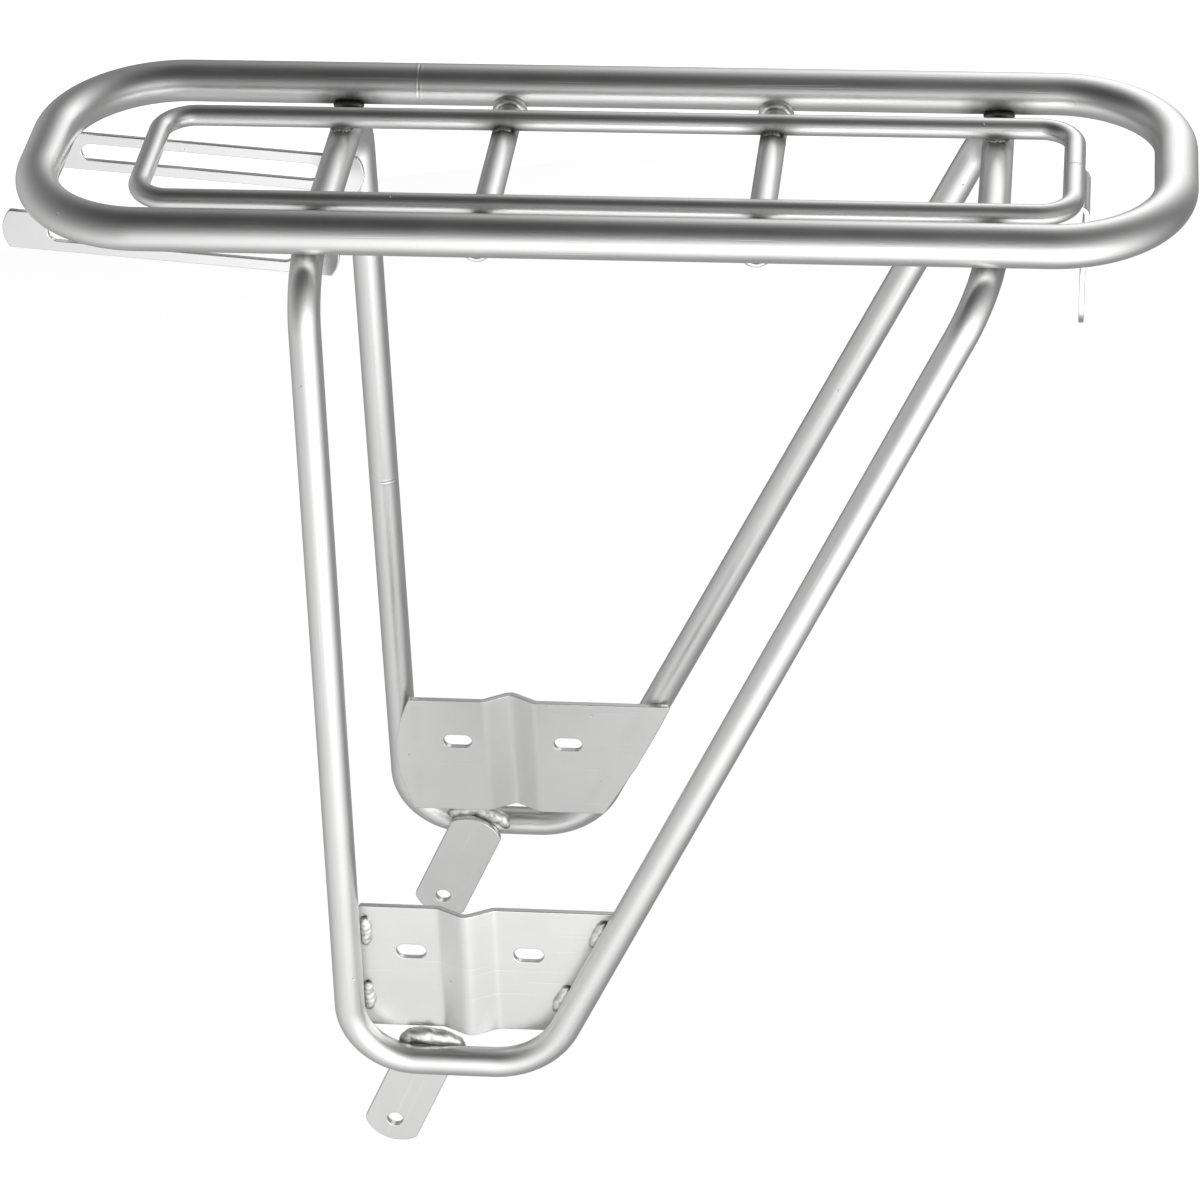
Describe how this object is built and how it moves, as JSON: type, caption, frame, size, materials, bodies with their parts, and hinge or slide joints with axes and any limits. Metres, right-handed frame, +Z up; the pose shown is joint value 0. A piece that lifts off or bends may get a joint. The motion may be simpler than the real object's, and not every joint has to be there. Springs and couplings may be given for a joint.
{
  "type": "bicycle rear rack",
  "caption": "Welded tubular rear rack: oval hoop deck with inner rail and cross tubes on a bent leg loop, with slotted side plates, axle tabs, front struts and a lamp bracket.",
  "frame": {"origin": "midway between the two lower eyelet holes, on the line that a quick-release axle would be parallel to", "axes": "+X to the rear of the bicycle along the deck, +Y to the right side, +Z up; the deck is level"},
  "size_m": [0.4397, 0.1742, 0.4205],
  "materials": {
    "satin_alloy": "fine satin silver, evenly anodised",
    "polished_steel": "bright, lightly brushed along its length",
    "weld_metal": "dull grey rippled weld bead"
  },
  "bodies": {
    "root": {"axle_tab_left": "satin_alloy", "axle_tab_right": "satin_alloy", "cross_tube_front": "satin_alloy", "cross_tube_rear": "satin_alloy", "front_strut_left": "polished_steel", "front_strut_right": "polished_steel", "inner_rail": "satin_alloy", "lamp_bracket": "polished_steel", "leg_loop": "satin_alloy", "outer_hoop": "satin_alloy", "side_plate_left": "satin_alloy", "side_plate_right": "satin_alloy", "weld_bracket_left": "weld_metal", "weld_bracket_right": "weld_metal", "weld_hoop_arch_front_left": "weld_metal", "weld_hoop_arch_front_right": "weld_metal", "weld_hoop_arch_rear_left": "weld_metal", "weld_hoop_arch_rear_right": "weld_metal", "weld_hoop_cross_front_left": "weld_metal", "weld_hoop_cross_front_right": "weld_metal", "weld_hoop_cross_rear_left": "weld_metal", "weld_hoop_cross_rear_right": "weld_metal", "weld_plate_front_lower_left": "weld_metal", "weld_plate_front_lower_right": "weld_metal", "weld_plate_front_upper_left": "weld_metal", "weld_plate_front_upper_right": "weld_metal", "weld_plate_rear_lower_left": "weld_metal", "weld_plate_rear_lower_right": "weld_metal", "weld_plate_rear_upper_left": "weld_metal", "weld_plate_rear_upper_right": "weld_metal", "weld_rail_arch_front_left": "weld_metal", "weld_rail_arch_front_right": "weld_metal", "weld_rail_arch_rear_left": "weld_metal", "weld_rail_arch_rear_right": "weld_metal", "weld_rail_cross_front_left": "weld_metal", "weld_rail_cross_front_right": "weld_metal", "weld_rail_cross_rear_left": "weld_metal", "weld_rail_cross_rear_right": "weld_metal", "weld_strut_left": "weld_metal", "weld_strut_right": "weld_metal", "weld_tab_left": "weld_metal", "weld_tab_right": "weld_metal"}
  },
  "joints": []
}
